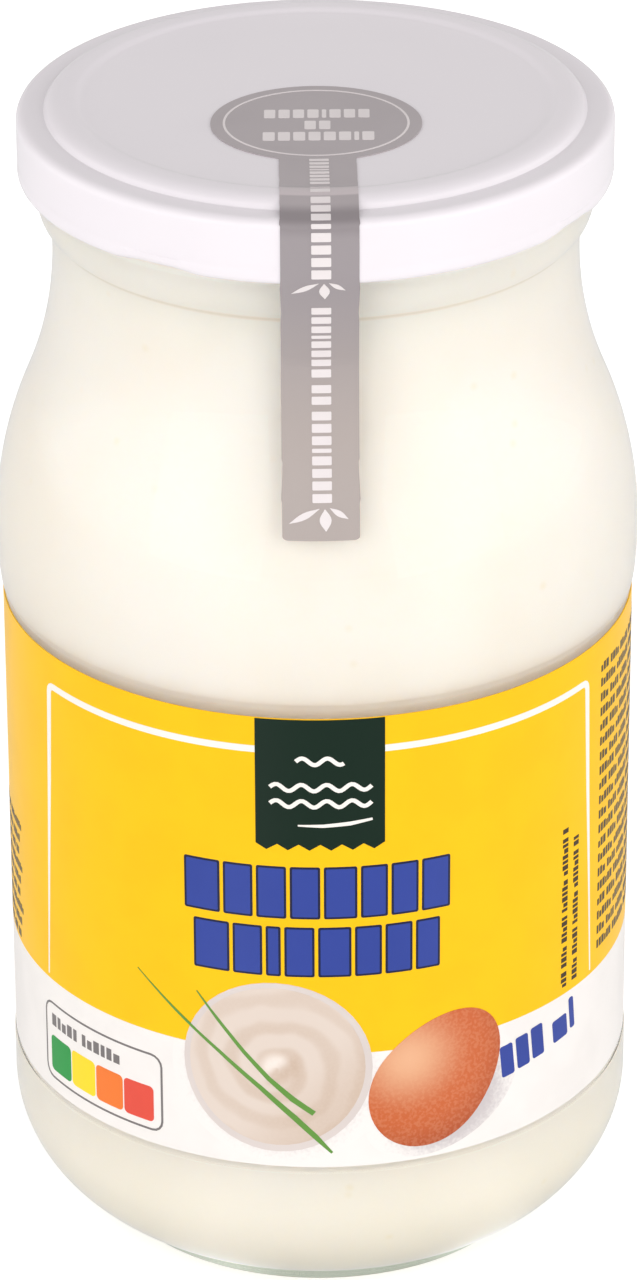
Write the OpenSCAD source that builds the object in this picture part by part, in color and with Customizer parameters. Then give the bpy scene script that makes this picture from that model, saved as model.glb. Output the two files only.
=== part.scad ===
// Glass jar of mayonnaise with a twist-off lid, a wrap label and a tamper seal.
// Millimetres, +Z up. The origin is the middle of the face the jar stands on.
// The front of the label and the seal's strap face -Y.

/* [Jar glass] */
// Diameter of the straight wall that the label is stuck to
body_d = 74.4; // [66:0.2:92]
// Height of the straight wall
panel_h = 61.2; // [48:0.2:76]
// How far the shoulder stands out beyond the straight wall
shoulder_proud = 0.65; // [0.3:0.05:1.2]
// How far the heel stands out beyond the straight wall
heel_proud = 0.25; // [0.1:0.05:1]
// Height of the foot of the straight wall above the ground
heel_h = 21.6; // [18:0.2:28]
// Height of the heel's curve, from the ground to its widest place
heel_curve_h = 16.2; // [13:0.2:17]
// How far the heel's curve runs in towards the axis
heel_curve_w = 18.15; // [14:0.05:22]
// Diameter of the foot ring
foot_d = 54; // [46:0.5:58]
// Width of the foot ring's flat, which rests on the ground
foot_flat_w = 2.6; // [1.5:0.1:4]
// Depth of the hollow under the bottom
push_up = 1.2; // [0.5:0.1:2]
// Height from the straight wall to the widest place of the shoulder
shoulder_rise = 6.7; // [5:0.1:10]
// Height from the widest place of the shoulder to the waist of the neck
neck_rise = 35.8; // [28:0.2:44]
// Diameter of the neck at its waist
neck_d = 61; // [51:0.2:73]
// Height of the waist's straight stretch
waist_h = 3.1; // [2:0.1:5]
// How far the bead under the lid stands out from the waist
bead_proud = 1.8; // [1:0.05:2.4]
// Height from the waist's top to the widest place of the bead
bead_rise = 4.2; // [3:0.1:6]
// Height from the bead to the rim
finish_h = 8.6; // [7.8:0.1:12]
// How far the mouth's wall above the bead stands out from the waist
finish_proud = 0.8; // [0.2:0.05:1]
// Thickness of the glass wall
wall = 2.6; // [1.8:0.1:3]
// Thickness of the glass bottom above the ground
base_t = 4.2; // [3.5:0.1:6]

/* [Mayonnaise] */
// Free height between the mayonnaise and the rim
headspace = 6.2; // [4.6:0.1:7]

/* [Label] */
// Bare glass between the foot of the straight wall and the label
label_gap_low = 0.7; // [0.3:0.1:3]
// Bare glass between the label and the top of the straight wall
label_gap_top = 1; // [0.3:0.1:3]
// Thickness of the label
label_t = 0.12; // [0.08:0.01:0.2]

/* [Lid] */
// Thickness of the pressed steel
sheet_t = 0.5; // [0.3:0.05:0.6]
// Free space between the bead and the skirt
skirt_gap = 1.5; // [1.2:0.1:2.2]
// Height of the skirt below the ledge
skirt_h = 7.7; // [7:0.1:8.2]
// Width of the hem that is rolled inwards at the skirt's foot
hem_w = 1.1; // [0.8:0.05:1.2]
// Height of the hem
hem_h = 1.6; // [1.2:0.1:2.2]
// Radius of the lid's outer edge
edge_r = 1.1; // [0.6:0.1:1.6]
// Width of the ledge round the panel
ledge_w = 3.3; // [2.6:0.1:4]
// Width of the slope from the ledge up to the panel
slope_w = 2.1; // [1.5:0.1:3]
// Height of the panel's ring above the ledge
panel_rise = 1.2; // [0.6:0.1:1.6]
// Width of the panel's raised ring
ring_w = 1.3; // [0.8:0.1:2.5]
// Depth of the panel's middle below its ring
panel_dip = 0.3; // [0.1:0.05:0.5]
// Width of the step from the ring down to the middle
dip_w = 0.7; // [0.4:0.1:1.5]

/* [Seal] */
// Width of the strap
strap_w = 8.7; // [6:0.1:12]
// Length of the strap down the glass, from the waist's foot
strap_reach = 22; // [12:0.5:26]
// Width of the disc on the lid
disc_w = 24; // [18:0.5:28]
// Length of the disc, front to back
disc_l = 22.2; // [18:0.2:26]
// Distance from the lid's axis forward to the disc's centre
disc_shift = 7.9; // [5:0.1:9]
// Turn of the seal round the axis, to the right of the front
seal_turn = 0.7; // [0:0.1:3]
// Thickness of the seal's film
seal_t = 0.12; // [0.08:0.01:0.2]

/* [Hidden] */
$fn = 96;
curve_steps = 10;
disc_steps = 64;
foot_round = 0.6;
rim_round = 0.8;

body_r = body_d / 2;
neck_r = neck_d / 2;
foot_r = foot_d / 2;
heel_r = body_r + heel_proud;
shoulder_r = body_r + shoulder_proud;
bead_r = neck_r + bead_proud;
finish_r = neck_r + finish_proud;
bore_r = neck_r - wall;

panel_top = heel_h + panel_h;
label_h = panel_h - label_gap_low - label_gap_top;
shoulder_z = panel_top + shoulder_rise;
waist_z = shoulder_z + neck_rise;
crease_z = waist_z + waist_h;
bead_z = crease_z + bead_rise;
rim_z = bead_z + finish_h;
fill_z = rim_z - headspace;

lid_r = bead_r + skirt_gap + sheet_t;
ledge_z = rim_z + sheet_t;
skirt_z = ledge_z - skirt_h;
slope_r = lid_r - ledge_w;
ring_r = slope_r - slope_w;
dip_r = ring_r - ring_w;
panel_r = dip_r - dip_w;
ring_z = ledge_z + panel_rise;
panel_z = ring_z - panel_dip;

strap_z = waist_z - strap_reach;

// Points of an upright ellipse's arc about [r, z], from angle a0 to angle a1
function arc(centre, rx, rz, a0, a1, steps = curve_steps) =
    [for (i = [0:steps]) let (a = a0 + (a1 - a0) * i / steps)
        [centre.x + rx * cos(a), centre.y + rz * sin(a)]];

// Radius of the two equal arcs that join an upright line at p to one at q, above it
function swan_radius(p, q) =
    (pow(p.x - q.x, 2) + pow(q.y - p.y, 2)) / (4 * (p.x - q.x));

// Points from p up to q: an arc that leans in, then an equal arc that stands up again
function swan(p, q, steps = curve_steps) =
    let (rad = swan_radius(p, q), turn = asin((q.y - p.y) / (2 * rad)))
    concat(
        [for (i = [0:steps]) let (a = turn * i / steps)
            [p.x - rad * (1 - cos(a)), p.y + rad * sin(a)]],
        [for (i = [steps - 1:-1:0]) let (a = turn * i / steps)
            [q.x + rad * (1 - cos(a)), q.y - rad * sin(a)]]);

// Radius of the swan curve from p to q at height z
function swan_at(p, q, z) =
    let (rad = swan_radius(p, q), low = z - p.y, high = q.y - z)
    low < (q.y - p.y) / 2
        ? p.x - rad + sqrt(rad * rad - low * low)
        : q.x + rad - sqrt(rad * rad - high * high);

shoulder_pt = [shoulder_r, shoulder_z];
waist_pt = [neck_r, waist_z];
heel_mid = [heel_r - heel_curve_w, heel_curve_h];
foot_turn = acos((foot_r - heel_mid.x) / heel_curve_w);

// Outside of the glass, from the foot ring's flat up to the crease under the bead
outer_wall = concat(
    arc([foot_r - foot_round, foot_round], foot_round, foot_round, -90, 0, 4),
    arc(heel_mid, heel_curve_w, heel_curve_h, -foot_turn, 0, 14),
    arc([heel_r - heel_proud, heel_h - heel_proud], heel_proud, heel_proud, 0, 90, 4),
    [[body_r, panel_top]],
    arc([body_r, shoulder_z], shoulder_proud, shoulder_rise, -90, 0, 6),
    swan(shoulder_pt, waist_pt),
    [[neck_r, crease_z]]);

// Outside of the bead and the mouth, up to the rim
outer_mouth = concat(
    arc([neck_r, bead_z], bead_proud, bead_rise, -60, 0, 6),
    arc([finish_r, bead_z], bead_r - finish_r, 1.4, 15, 90, 4),
    arc([finish_r - rim_round, rim_z - rim_round], rim_round, rim_round, 0, 90, 4));

// Inside of the glass, from the middle of the bottom up to the mouth
inner_mid = [heel_mid.x, heel_curve_h];
inner_wall = concat(
    [[0, base_t]],
    arc(inner_mid, body_r - wall - inner_mid.x, heel_curve_h - base_t, -90, 0, 12),
    [[body_r - wall, panel_top]],
    arc([body_r - wall, shoulder_z], shoulder_proud, shoulder_rise, -90, 0, 6),
    swan([shoulder_r - wall, shoulder_z], [bore_r, waist_z]));

module jar() {
    color([0.86, 0.92, 0.88, 0.35])
    rotate_extrude() polygon(concat(
        [[0, push_up], [foot_r - foot_round - foot_flat_w - push_up, push_up]],
        [[foot_r - foot_round - foot_flat_w, 0]],
        outer_wall,
        outer_mouth,
        arc([bore_r + rim_round, rim_z - rim_round], rim_round, rim_round, 90, 180, 4),
        [for (i = [len(inner_wall) - 1:-1:0]) inner_wall[i]]));
}

module mayonnaise() {
    color([0.98, 0.95, 0.88])
    rotate_extrude() polygon(concat(inner_wall, [[bore_r, fill_z], [0, fill_z]]));
}

module label() {
    color([1, 0.82, 0.1])
    translate([0, 0, heel_h + label_gap_low])
    difference() {
        cylinder(r = body_r + label_t, h = label_h);
        translate([0, 0, -1]) cylinder(r = body_r, h = label_h + 2);
    }
}

// Top of the lid, from the axis out to the foot of the skirt
lid_top = concat(
    [[0, panel_z], [panel_r, panel_z], [dip_r, ring_z], [ring_r, ring_z]],
    arc([ring_r, ledge_z], slope_w, panel_rise, 75, 15, 4),
    [[slope_r, ledge_z]],
    arc([lid_r - edge_r, ledge_z - edge_r], edge_r, edge_r, 90, 0, 5));

module lid() {
    color([0.95, 0.94, 0.96])
    rotate_extrude() polygon(concat(
        lid_top,
        arc([lid_r - hem_h / 2, skirt_z + hem_h / 2], hem_h / 2, hem_h / 2, 0, -90, 5),
        arc([lid_r - sheet_t - hem_w + hem_h / 2, skirt_z + hem_h / 2],
            hem_h / 2, hem_h / 2, -90, -180, 5),
        [[lid_r - sheet_t - hem_w, skirt_z + hem_h], [lid_r - sheet_t, skirt_z + hem_h]],
        [[lid_r - sheet_t, rim_z], [bore_r, rim_z], [bore_r, panel_z - sheet_t]],
        [[0, panel_z - sheet_t]]));
}

// Line that the strap's back follows: over the lid, off the skirt to the neck, down the glass
touch_pt = [swan_at(shoulder_pt, waist_pt, waist_z - 2), waist_z - 2];
glass_run = [for (p = swan(shoulder_pt, waist_pt))
    if (p.y < touch_pt.y && p.y > strap_z) p];
strap_line = concat(
    [[disc_shift, panel_z], [panel_r, panel_z], [dip_r, ring_z], [ring_r + 0.4, ring_z]],
    arc([lid_r - edge_r, ledge_z - edge_r], edge_r, edge_r, 75, 0, 4),
    [[lid_r, skirt_z + hem_h / 2], touch_pt],
    [for (i = [len(glass_run) - 1:-1:0]) glass_run[i]],
    [[swan_at(shoulder_pt, waist_pt, strap_z), strap_z]]);

// Unit normal of the line at point i, on the side away from the jar
function line_normal(line, i) =
    let (a = line[max(i - 1, 0)], b = line[min(i + 1, len(line) - 1)], d = b - a)
    [-d.y, d.x] / norm(d);

strap_face = [for (i = [0:len(strap_line) - 1])
    strap_line[i] + seal_t * line_normal(strap_line, i)];

module seal() {
    color([0.66, 0.63, 0.64])
    rotate([0, 0, seal_turn]) union() {
        translate([0, -disc_shift, panel_z])
        linear_extrude(seal_t)
        polygon([for (i = [0:disc_steps - 1]) let (a = 360 * i / disc_steps)
            [disc_w / 2 * cos(a), disc_l / 2 * sin(a)]]);
        intersection() {
            rotate_extrude() polygon(concat(
                strap_line,
                [for (i = [len(strap_face) - 1:-1:0]) strap_face[i]]));
            translate([-strap_w / 2, -lid_r - 9, strap_z - 5])
            cube([strap_w, lid_r + 9, panel_z]);
        }
    }
}

jar();
mayonnaise();
label();
lid();
seal();
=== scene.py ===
"""Looks of a tall glass jar of mayonnaise.

Clear glass, a cream filling, a wrap label with its print, a painted twist-off lid
and a grey guarantee seal, each modelled in place on the CAD frame.
"""

import logging
import math
from dataclasses import dataclass
from enum import Enum

import bpy
from mathutils import Matrix, Vector


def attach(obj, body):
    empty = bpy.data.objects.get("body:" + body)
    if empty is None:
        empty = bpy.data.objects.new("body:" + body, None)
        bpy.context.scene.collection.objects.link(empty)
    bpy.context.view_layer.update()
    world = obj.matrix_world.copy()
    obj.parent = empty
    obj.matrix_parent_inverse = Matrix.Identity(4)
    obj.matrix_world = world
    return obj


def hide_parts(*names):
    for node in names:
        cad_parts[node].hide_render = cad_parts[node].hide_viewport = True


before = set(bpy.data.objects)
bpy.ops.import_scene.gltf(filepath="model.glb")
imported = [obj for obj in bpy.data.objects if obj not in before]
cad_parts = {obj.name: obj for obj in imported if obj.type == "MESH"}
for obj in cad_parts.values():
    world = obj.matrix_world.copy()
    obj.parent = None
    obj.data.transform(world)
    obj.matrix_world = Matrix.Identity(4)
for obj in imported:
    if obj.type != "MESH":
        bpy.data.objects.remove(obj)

MM = 0.001
FULL_TURN = 2 * math.pi
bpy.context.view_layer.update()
LOG = logging.getLogger("mayonnaise_jar")

Colour = tuple[float, float, float, float]
Source = float | tuple | bpy.types.NodeSocket


def srgb(red: int, green: int, blue: int) -> Colour:
    """Turn a printed colour of 0 to 255 a channel into a linear one.

    Args:
        red: Red channel.
        green: Green channel.
        blue: Blue channel.

    Returns:
        The linear colour with full alpha.
    """
    linear = []
    for channel in (red, green, blue):
        value = channel / 255
        low = value / 12.92
        linear.append(low if value <= 0.04045 else ((value + 0.055) / 1.055) ** 2.4)
    return (linear[0], linear[1], linear[2], 1.0)


class Slot(Enum):
    """Material slots of the record."""

    GLASS = "glass"
    CREAM = "mayonnaise"
    LABEL = "label"
    LID = "lid"
    SEAL = "seal"


# ---------------------------------------------------------------- node helpers


def join(tree: bpy.types.NodeTree, socket: bpy.types.NodeSocket, value: Source) -> None:
    """Set a socket to a value, or join it to the socket that gives one.

    Args:
        tree: Tree of the socket's node.
        socket: Input socket.
        value: Value or output socket.
    """
    if isinstance(value, bpy.types.NodeSocket):
        tree.links.new(value, socket)
    else:
        socket.default_value = value


def put(tree: bpy.types.NodeTree, kind: str, values: dict | None = None,
        **props: object) -> bpy.types.Node:
    """Add a node, set its sockets and join the ones that are given a source.

    Args:
        tree: Node tree to add to.
        kind: Node type name, without its ShaderNode start.
        values: Socket name or number to a value or an output socket.
        props: Properties of the node itself.

    Returns:
        The new node.
    """
    node = tree.nodes.new("ShaderNode" + kind)
    for name, value in props.items():
        setattr(node, name, value)
    for name, value in (values or {}).items():
        join(tree, node.inputs[name], value)
    return node


def mix(tree: bpy.types.NodeTree, share: Source, first: Source,
        second: Source) -> bpy.types.NodeSocket:
    """Mix two colours by a share.

    Args:
        tree: Node tree to add to.
        share: Value or socket from 0, the first, to 1, the second.
        first: Colour or socket.
        second: Colour or socket.

    Returns:
        The mixed colour's socket.
    """
    node = put(tree, "Mix", data_type="RGBA")
    for index, value in ((0, share), (6, first), (7, second)):
        join(tree, node.inputs[index], value)
    return node.outputs[2]


def span(tree: bpy.types.NodeTree, value: Source, low: float, high: float,
         start: float = 0.0, end: float = 1.0) -> bpy.types.NodeSocket:
    """Map a value from one range to another, held at the ends.

    Args:
        tree: Node tree to add to.
        value: Socket to map.
        low: Input at the start of the range.
        high: Input at the end of the range.
        start: Output at low.
        end: Output at high.

    Returns:
        The mapped value's socket.
    """
    values = {"Value": value, "From Min": low, "From Max": high, "To Min": start, "To Max": end}
    return put(tree, "MapRange", values, interpolation_type="SMOOTHSTEP").outputs[0]


def maths(tree: bpy.types.NodeTree, kind: str, first: Source,
          second: Source = 0.0) -> bpy.types.NodeSocket:
    """Join two values by one sum, product or function.

    Args:
        tree: Node tree to add to.
        kind: Operation name.
        first: First value or socket.
        second: Second value or socket.

    Returns:
        The result's socket.
    """
    return put(tree, "Math", {0: first, 1: second}, operation=kind).outputs[0]


def speckle(tree: bpy.types.NodeTree, where: bpy.types.NodeSocket, scale: float) -> bpy.types.NodeSocket:
    """Fine printed grain, from 0 to 1.

    Args:
        tree: Node tree to add to.
        where: Coordinates.
        scale: Fineness.

    Returns:
        The grain's socket.
    """
    return put(tree, "TexNoise", {"Vector": where, "Scale": scale, "Detail": 1.0}).outputs["Fac"]


def about(tree: bpy.types.NodeTree, where: bpy.types.NodeSocket,
          centre: tuple[float, float]) -> bpy.types.NodeSocket:
    """Coordinates about a printed shape's middle.

    Args:
        tree: Node tree to add to.
        where: Coordinates.
        centre: The middle, across and up, in metres.

    Returns:
        The moved coordinates' socket.
    """
    return put(tree, "Mapping", {"Vector": where, "Location": (-centre[0], 0.0, -centre[1])}).outputs[0]


def spread(tree: bpy.types.NodeTree, where: bpy.types.NodeSocket,
           centre: tuple[float, float]) -> bpy.types.NodeSocket:
    """Distance across and up from a printed shape's middle.

    Args:
        tree: Node tree to add to.
        where: Coordinates.
        centre: The middle, across and up, in metres.

    Returns:
        The distance's socket.
    """
    flat = put(tree, "VectorMath", {0: about(tree, where, centre), 1: (1.0, 0.0, 1.0)},
               operation="MULTIPLY")
    return put(tree, "VectorMath", {0: flat.outputs[0]}, operation="LENGTH").outputs["Value"]


class Effects:
    """Shared shader effects, each a node group that is built once."""

    @staticmethod
    def _group(name: str, inputs: dict,
               outputs: dict) -> tuple[bpy.types.NodeTree, bpy.types.Node, bpy.types.Node]:
        """Start a group with named sockets.

        Args:
            name: Group name.
            inputs: Socket name to (kind, default).
            outputs: Socket name to kind.

        Returns:
            The tree, its input node and its output node.
        """
        tree = bpy.data.node_groups.new(name, "ShaderNodeTree")
        for label, (kind, default) in inputs.items():
            socket = tree.interface.new_socket(label, in_out="INPUT", socket_type="NodeSocket" + kind)
            if default is not None:
                socket.default_value = default
        for label, kind in outputs.items():
            tree.interface.new_socket(label, in_out="OUTPUT", socket_type="NodeSocket" + kind)
        return tree, tree.nodes.new("NodeGroupInput"), tree.nodes.new("NodeGroupOutput")

    @classmethod
    def mottle(cls) -> bpy.types.NodeTree:
        """Soft cloudy change from one colour towards another.

        Returns:
            The group.
        """
        if "soft_mottle" in bpy.data.node_groups:
            return bpy.data.node_groups["soft_mottle"]
        inputs = {"Vector": ("Vector", None), "Scale": ("Float", 60.0), "Amount": ("Float", 0.5),
                  "Base": ("Color", (0.8, 0.8, 0.8, 1)), "Tint": ("Color", (0.7, 0.7, 0.7, 1))}
        tree, start, end = cls._group("soft_mottle", inputs, {"Color": "Color"})
        noise = put(tree, "TexNoise", {"Vector": start.outputs["Vector"],
                                       "Scale": start.outputs["Scale"], "Detail": 3.0})
        cloud = span(tree, noise.outputs["Fac"], 0.38, 0.66)
        share = maths(tree, "MULTIPLY", cloud, start.outputs["Amount"])
        tree.links.new(mix(tree, share, start.outputs["Base"], start.outputs["Tint"]),
                       end.inputs["Color"])
        return tree

    @classmethod
    def specks(cls) -> bpy.types.NodeTree:
        """Mask of scattered small round specks.

        Returns:
            The group.
        """
        if "specks" in bpy.data.node_groups:
            return bpy.data.node_groups["specks"]
        inputs = {"Vector": ("Vector", None), "Scale": ("Float", 200.0), "Size": ("Float", 0.15)}
        tree, start, end = cls._group("specks", inputs, {"Mask": "Float"})
        cells = put(tree, "TexVoronoi", {"Vector": start.outputs["Vector"],
                                         "Scale": start.outputs["Scale"]})
        rare = maths(tree, "GREATER_THAN", put(
            tree, "SeparateColor", {0: cells.outputs["Color"]}).outputs[0], 0.72)
        near = put(tree, "MapRange", {"Value": cells.outputs["Distance"], "From Min": 0.0,
                                      "From Max": start.outputs["Size"], "To Min": 1.0, "To Max": 0.0})
        tree.links.new(maths(tree, "MULTIPLY", near.outputs[0], rare), end.inputs["Mask"])
        return tree

    @classmethod
    def grain(cls) -> bpy.types.NodeTree:
        """Fine surface unevenness, as a normal.

        Returns:
            The group.
        """
        if "fine_grain" in bpy.data.node_groups:
            return bpy.data.node_groups["fine_grain"]
        inputs = {"Vector": ("Vector", None), "Scale": ("Float", 900.0), "Strength": ("Float", 0.1),
                  "Depth": ("Float", 0.00005)}
        tree, start, end = cls._group("fine_grain", inputs, {"Normal": "Vector"})
        noise = put(tree, "TexNoise", {"Vector": start.outputs["Vector"],
                                       "Scale": start.outputs["Scale"], "Detail": 2.0})
        bump = put(tree, "Bump", {"Height": noise.outputs["Fac"], "Strength": start.outputs["Strength"],
                                  "Distance": start.outputs["Depth"]})
        tree.links.new(bump.outputs[0], end.inputs["Normal"])
        return tree


# ---------------------------------------------------------------- finishes


@dataclass(frozen=True)
class Finish:
    """A surface finish with a cloudy tint and a fine grain."""

    name: str
    colour: Colour
    tint: Colour
    roughness: float = 0.4
    amount: float = 0.5
    mottle_scale: float = 60.0
    grain_scale: float = 900.0
    grain_strength: float = 0.08
    grain_depth: float = 0.00004
    coat: float = 0.0
    specular: float = 0.5

    def surface(self, tree: bpy.types.NodeTree, where: bpy.types.NodeSocket) -> bpy.types.NodeSocket:
        """Colour over the surface: the base with its cloudy tint.

        Args:
            tree: The material's tree.
            where: Coordinates.

        Returns:
            The colour's socket.
        """
        values = {"Vector": where, "Scale": self.mottle_scale, "Amount": self.amount,
                  "Base": self.colour, "Tint": self.tint}
        return put(tree, "Group", values, node_tree=Effects.mottle()).outputs["Color"]

    def grained(self, tree: bpy.types.NodeTree, where: bpy.types.NodeSocket) -> bpy.types.NodeSocket:
        """Normal of the fine grain.

        Args:
            tree: The material's tree.
            where: Coordinates.

        Returns:
            The normal's socket.
        """
        values = {"Vector": where, "Scale": self.grain_scale, "Strength": self.grain_strength,
                  "Depth": self.grain_depth}
        return put(tree, "Group", values, node_tree=Effects.grain()).outputs["Normal"]

    def build(self) -> bpy.types.Material:
        """Make the material, or give the one that is there.

        Returns:
            The finished material.
        """
        if self.name in bpy.data.materials:
            return bpy.data.materials[self.name]
        material = bpy.data.materials.new(self.name)
        material.use_nodes = True
        tree = material.node_tree
        tree.nodes.clear()
        where = put(tree, "TexCoord").outputs["Object"]
        shader = put(tree, "BsdfPrincipled", {"Roughness": self.roughness, "Coat Weight": self.coat,
                                              "Specular IOR Level": self.specular,
                                              "Base Color": self.surface(tree, where),
                                              "Normal": self.grained(tree, where)})
        out = put(tree, "OutputMaterial", {0: shader.outputs[0]})
        self.complete(tree, shader, out)
        return material

    def complete(self, tree: bpy.types.NodeTree, shader: bpy.types.Node, out: bpy.types.Node) -> None:
        """Add what only some finishes have: nothing here."""


@dataclass(frozen=True)
class ClearGlass(Finish):
    """Pressed container glass, faintly green, with a slow waviness."""

    ior: float = 1.5
    foot: Colour = srgb(190, 199, 178)
    foot_z: tuple[float, float] = (0.0008, 0.0042)

    def surface(self, tree: bpy.types.NodeTree, where: bpy.types.NodeSocket) -> bpy.types.NodeSocket:
        """Colour of the glass, deeper in the thick foot."""
        height = put(tree, "SeparateXYZ", {0: where}).outputs["Z"]
        return mix(tree, span(tree, height, *self.foot_z), self.foot, super().surface(tree, where))

    def complete(self, tree: bpy.types.NodeTree, shader: bpy.types.Node, out: bpy.types.Node) -> None:
        """Let light through, and let the lamps' light straight through.

        Args:
            tree: The material's tree.
            shader: The glass shader.
            out: The material's output.
        """
        shader.inputs["Transmission Weight"].default_value = 1.0
        shader.inputs["IOR"].default_value = self.ior
        lamp_path = put(tree, "LightPath").outputs["Is Shadow Ray"]
        clear = put(tree, "BsdfTransparent", {"Color": self.tint})
        both = put(tree, "MixShader", {0: lamp_path, 1: shader.outputs[0], 2: clear.outputs[0]})
        tree.links.new(both.outputs[0], out.inputs[0])


@dataclass(frozen=True)
class Cream(Finish):
    """Thick cream with faint egg-yellow specks, a little greyer towards its foot, painted lighter at the
    neck under the lid, with a painted shade line at the crease and a painted glow.
    """

    speck: Colour = srgb(238, 220, 180)
    speck_share: float = 0.3
    foot: Colour = srgb(246, 237, 226)
    foot_z: tuple[float, float] = (0.004, 0.03)
    # Painted light: the cream's neck under the lid is painted lighter, over the shade that the lid casts
    # there.
    neck: Colour = srgb(255, 246, 241)
    painted_light_neck_z: tuple[float, float] = (0.119, 0.129)
    # Painted shade: a darker line in the cream at the glass crease under the lid.
    painted_crease_shade: Colour = srgb(228, 217, 198)
    crease_z: float = 0.1283
    # Painted glow: colour and strength of an emission that lifts the cream, though it is no lamp.
    painted_glow_colour: Colour = srgb(255, 248, 236)
    glow: float = 0.05
    depth: float = 0.004

    def surface(self, tree: bpy.types.NodeTree, where: bpy.types.NodeSocket) -> bpy.types.NodeSocket:
        """Colour of the cream, painted lighter under the lid, with a painted shade line at the crease
        there.

        Args:
            tree: The material's tree.
            where: Coordinates.

        Returns:
            The colour's socket.
        """
        height = put(tree, "SeparateXYZ", {0: where}).outputs["Z"]
        body = super().surface(tree, where)
        low = mix(tree, span(tree, height, *self.foot_z, 1.0, 0.0), body, self.foot)
        # Painted light: lighter colour over the neck under the lid.
        neck = mix(tree, span(tree, height, *self.painted_light_neck_z), low, self.neck)
        # Painted shade line at the crease: rise times fall gives a narrow band.
        rise = span(tree, height, self.crease_z - 0.001, self.crease_z)
        fall = span(tree, height, self.crease_z, self.crease_z + 0.0008, 0.6, 0.0)
        high = mix(tree, maths(tree, "MULTIPLY", rise, fall), neck, self.painted_crease_shade)
        mask = put(tree, "Group", {"Vector": where, "Scale": 230.0, "Size": 0.16},
                   node_tree=Effects.specks())
        faint = maths(tree, "MULTIPLY", mask.outputs["Mask"], self.speck_share)
        return mix(tree, faint, high, self.speck)

    def complete(self, tree: bpy.types.NodeTree, shader: bpy.types.Node, out: bpy.types.Node) -> None:
        """Let light soak in, and lift the cream a little with a painted glow.

        Args:
            tree: The material's tree.
            shader: The cream's shader.
            out: The material's output.
        """
        # Painted glow: emission that lifts the cream.
        shader.inputs["Emission Color"].default_value = self.painted_glow_colour
        shader.inputs["Emission Strength"].default_value = self.glow
        shader.inputs["Subsurface Weight"].default_value = 0.5
        shader.inputs["Subsurface Radius"].default_value = (1.0, 0.9, 0.75)
        shader.inputs["Subsurface Scale"].default_value = self.depth


@dataclass(frozen=True)
class Print(Finish):
    """Ink of a printed picture, from its colour to its tint about a middle, in metres."""

    roughness: float = 0.35
    grain_scale: float = 1500.0
    specular: float = 0.3
    centre: tuple[float, float] = (0.0, 0.0)


@dataclass(frozen=True)
class EggInk(Print):
    """Printed egg: lit at the upper left, deep at the lower right, with a dot grain."""

    reach: float = 0.009
    light: Colour = srgb(226, 172, 134)

    def surface(self, tree: bpy.types.NodeTree, where: bpy.types.NodeSocket) -> bpy.types.NodeSocket:
        """Colour of the egg.

        Args:
            tree: The material's tree.
            where: Coordinates.

        Returns:
            The colour's socket.
        """
        away = spread(tree, where, self.centre)
        shade = mix(tree, span(tree, away, 0.0, self.reach * 0.9), self.light, self.colour)
        deep = mix(tree, span(tree, away, self.reach * 0.85, self.reach * 1.75), shade, self.tint)
        dots = span(tree, speckle(tree, where, 2600.0), 0.4, 0.65, 0.0, 0.16)
        return mix(tree, dots, deep, self.light)


@dataclass(frozen=True)
class SwirlInk(Print):
    """Printed cream in a bowl, stirred into a slow spiral of light and shade."""

    turns: float = 2.8
    reach: float = 0.0105
    peak: Colour = srgb(237, 227, 219)

    def surface(self, tree: bpy.types.NodeTree, where: bpy.types.NodeSocket) -> bpy.types.NodeSocket:
        """Colour of the stirred cream.

        Args:
            tree: The material's tree.
            where: Coordinates.

        Returns:
            The colour's socket.
        """
        axes = put(tree, "SeparateXYZ", {0: about(tree, where, self.centre)})
        across = axes.outputs["X"]
        up = axes.outputs["Z"]
        angle = maths(tree, "ARCTAN2", up, across)
        radius = spread(tree, where, self.centre)
        warp = put(tree, "TexNoise", {"Vector": where, "Scale": 130.0, "Detail": 2.0}).outputs["Fac"]
        wave = maths(tree, "ADD", maths(tree, "MULTIPLY", radius, FULL_TURN * self.turns / self.reach),
                     maths(tree, "ADD", angle, maths(tree, "MULTIPLY", warp, 6.0)))
        ridge = span(tree, maths(tree, "SINE", wave), -0.6, 1.0)
        fall = maths(tree, "MULTIPLY", ridge, span(tree, radius, 0.001, 0.0098, 0.5, 0.28))
        body = mix(tree, fall, self.colour, self.tint)
        slope = maths(tree, "SUBTRACT", across, up)
        under = mix(tree, span(tree, slope, 0.002, 0.014, 0.0, 0.4), body, self.tint)
        fold = span(tree, radius, 0.0014, 0.0034, 0.62, 0.0)
        hollow = mix(tree, maths(tree, "MULTIPLY", fold, span(tree, slope, 0.0, 0.0016)), under, self.tint)
        tip = span(tree, radius, 0.0008, 0.0026, 0.9, 0.0)
        lit = mix(tree, maths(tree, "MULTIPLY", tip, span(tree, slope, -0.0008, 0.0008, 1.0, 0.0)),
                  hollow, self.peak)
        return mix(tree, span(tree, speckle(tree, where, 2600.0), 0.4, 0.65, 0.0, 0.12), lit, self.colour)


@dataclass(frozen=True)
class SoftShadow(Print):
    """Printed shadow that fades into the label with distance."""

    roughness: float = 0.32
    reach: float = 0.009

    def surface(self, tree: bpy.types.NodeTree, where: bpy.types.NodeSocket) -> bpy.types.NodeSocket:
        """Colour of the shadow.

        Args:
            tree: The material's tree.
            where: Coordinates.

        Returns:
            The colour's socket.
        """
        dots = maths(tree, "MULTIPLY", speckle(tree, where, 2400.0), self.reach * 0.3)
        loose = maths(tree, "ADD", spread(tree, where, self.centre), dots)
        fade = span(tree, loose, self.reach * 0.72, self.reach * 1.18)
        return mix(tree, fade, self.colour, self.tint)


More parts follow.
